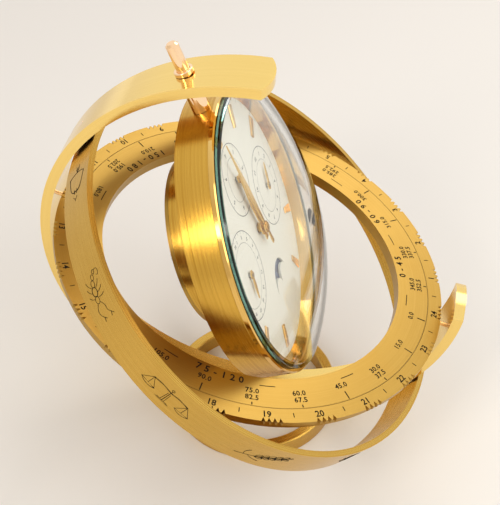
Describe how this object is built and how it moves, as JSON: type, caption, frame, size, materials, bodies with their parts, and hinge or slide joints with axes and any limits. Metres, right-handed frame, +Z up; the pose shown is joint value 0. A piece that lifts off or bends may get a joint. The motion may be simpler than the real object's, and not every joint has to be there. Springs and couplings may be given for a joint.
{
  "type": "armillary desk clock",
  "caption": "Desk clock as an armillary sphere: a tilted hour ring, zodiac and meridian bands round a swivelling case, on an open base ring.",
  "frame": {"origin": "on the table, under the centre of the sphere and in the centre of the base ring", "axes": "+Z up; -Y is the front, the side the dial looks towards; +X is the viewer's right from the front"},
  "size_m": [0.1712, 0.1716, 0.1825],
  "materials": {
    "brushed_gilt": "gilt brass, fine brushed",
    "polished_gilt": "gilt brass, polished",
    "plate_brass": "plain brass",
    "hand_gilt": "gilt, polished",
    "crystal_glass": "clear polished",
    "dial_silver": "satin off-white lacquer",
    "screw_steel": "steel",
    "movement_plastic": "moulded",
    "cell_steel": "nickel plated",
    "board_green": "circuit laminate",
    "coil_copper": "enamelled copper wire",
    "black_plastic": "moulded, ribbed",
    "moon_blue": "dark blue-grey lacquer"
  },
  "bodies": {
    "base": {"base_ring": "brushed_gilt"},
    "sphere": {"meridian_band": "brushed_gilt", "zodiac_band": "brushed_gilt", "band_rivets": "polished_gilt", "ring_stays": "polished_gilt", "city_ring": "brushed_gilt"},
    "hour_ring": {"hour_ring": "brushed_gilt"},
    "case": {"pivot_spindle": "polished_gilt", "spindle_collar": "polished_gilt", "spindle_bush": "polished_gilt", "case_drum": "brushed_gilt", "bezel": "polished_gilt", "crystal": "crystal_glass", "dial_flange": "dial_silver", "dial": "dial_silver", "applied_markers": "hand_gilt", "calendar_plate": "plate_brass", "rear_housing": "brushed_gilt", "rear_cover": "brushed_gilt", "cover_screws": "screw_steel", "movement_case": "movement_plastic", "movement_lid": "movement_plastic", "battery": "cell_steel", "circuit_board": "board_green", "coil_core": "screw_steel", "drive_coil": "coil_copper"},
    "minute_work": {"minute_arbor": "plate_brass", "minute_hand": "hand_gilt", "hand_cap": "hand_gilt"},
    "setting_work": {"minute_wheel": "plate_brass", "setting_knob": "black_plastic"},
    "hour_work": {"hour_wheel": "plate_brass", "hour_hand": "hand_gilt"},
    "day_pointer": {"day_arbor": "plate_brass", "day_hand": "hand_gilt"},
    "date_pointer": {"date_arbor": "plate_brass", "date_hand": "hand_gilt"},
    "month_pointer": {"month_arbor": "plate_brass", "month_hand": "hand_gilt"},
    "moon": {"moon_disc": "moon_blue"}
  },
  "joints": [
    {"name": "sphere_tilt", "type": "hinge", "parent": "base", "child": "sphere", "pos_m": [0, 0, 0.088], "axis": [1, 0, 0], "range_deg": [-10, 10]},
    {"name": "hour_ring_turn", "type": "hinge", "parent": "sphere", "child": "hour_ring", "pos_m": [0, 0, 0.088], "axis": [0, -0.2639, 0.9646], "continuous": true},
    {"name": "case_swivel", "type": "hinge", "parent": "sphere", "child": "case", "pos_m": [0, -0.0056, 0.09015], "axis": [0, 0.3584, 0.9336], "continuous": true},
    {"name": "minute_turn", "type": "hinge", "parent": "case", "child": "minute_work", "pos_m": [-0.00062, 0.00666, 0.09872], "axis": [-0.0732, 0.9311, -0.3574], "continuous": true},
    {"name": "setting_turn", "type": "hinge", "parent": "case", "child": "setting_work", "pos_m": [-0.00062, 0.00093, 0.08379], "axis": [-0.0732, 0.9311, -0.3574], "continuous": true},
    {"name": "hour_turn", "type": "hinge", "parent": "case", "child": "hour_work", "pos_m": [-0.00062, 0.00666, 0.09872], "axis": [-0.0732, 0.9311, -0.3574], "continuous": true},
    {"name": "day_turn", "type": "hinge", "parent": "case", "child": "day_pointer", "pos_m": [-0.00062, 0.01544, 0.1216], "axis": [-0.0732, 0.9311, -0.3574], "continuous": true},
    {"name": "date_turn", "type": "hinge", "parent": "case", "child": "date_pointer", "pos_m": [-0.02804, 0.00478, 0.09945], "axis": [-0.0732, 0.9311, -0.3574], "continuous": true},
    {"name": "month_turn", "type": "hinge", "parent": "case", "child": "month_pointer", "pos_m": [0.02681, 0.00854, 0.098], "axis": [-0.0732, 0.9311, -0.3574], "continuous": true},
    {"name": "moon_turn", "type": "hinge", "parent": "case", "child": "moon", "pos_m": [-0.00062, -0.00373, 0.07165], "axis": [-0.0732, 0.9311, -0.3574], "continuous": true}
  ],
  "couplings": [
    {"joint": "setting_turn", "follows": "minute_turn", "ratio": -0.33333},
    {"joint": "hour_turn", "follows": "minute_turn", "ratio": 0.083333}
  ]
}
